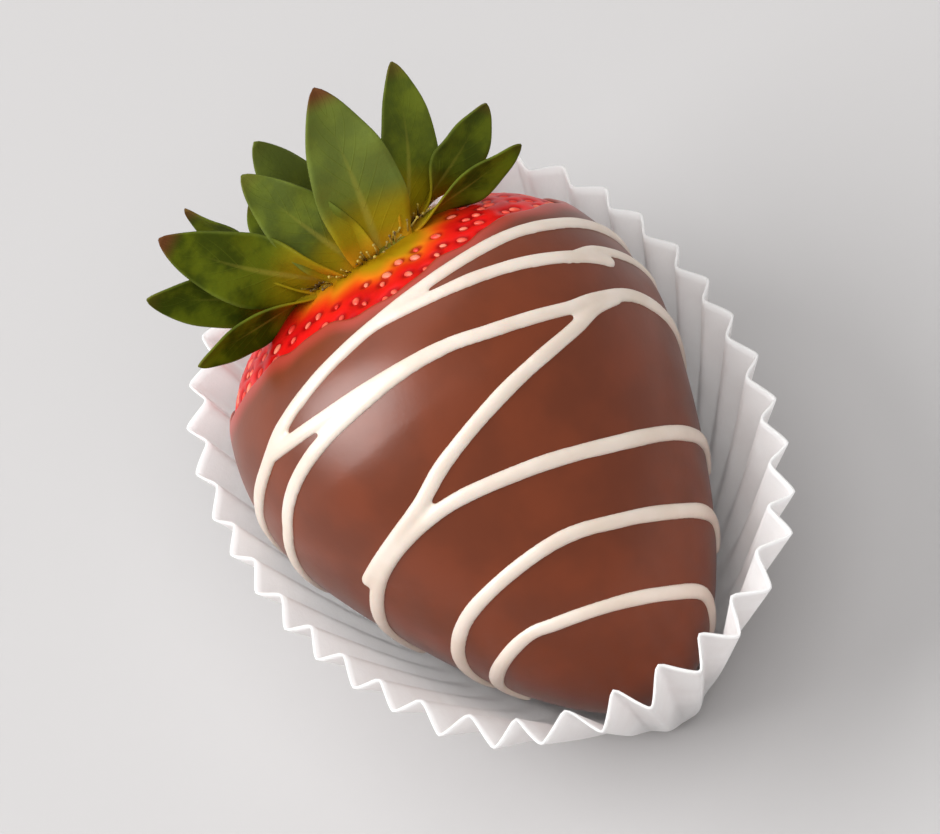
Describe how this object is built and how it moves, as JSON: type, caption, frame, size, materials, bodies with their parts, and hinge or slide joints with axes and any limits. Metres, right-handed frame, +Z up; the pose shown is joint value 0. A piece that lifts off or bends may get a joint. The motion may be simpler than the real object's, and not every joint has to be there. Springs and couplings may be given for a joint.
{
  "type": "chocolate coated strawberry",
  "caption": "Strawberry dipped in milk chocolate with a bare red shoulder and a leafy crown, lying on its side in a fluted white paper case.",
  "frame": {"origin": "middle of the paper case's flat base, on the surface that it stands on", "axes": "+Z up; +Y from the fruit's tip, at the front, to its leafy crown, at the back; +X to the right as seen from the tip"},
  "size_m": [0.0494, 0.067, 0.0474],
  "materials": {
    "white_paper": "matt white pleated paper",
    "milk_chocolate": "smooth milk chocolate with a soft satin gloss",
    "strawberry_red": "glossy red fruit skin",
    "leaf_green": "soft green leaf",
    "white_drizzle": "satin white chocolate",
    "straw_seed": "pale straw seeds"
  },
  "bodies": {
    "root": {"paper_case": "white_paper", "chocolate_coat": "milk_chocolate", "strawberry": "strawberry_red", "calyx": "leaf_green"}
  },
  "joints": []
}
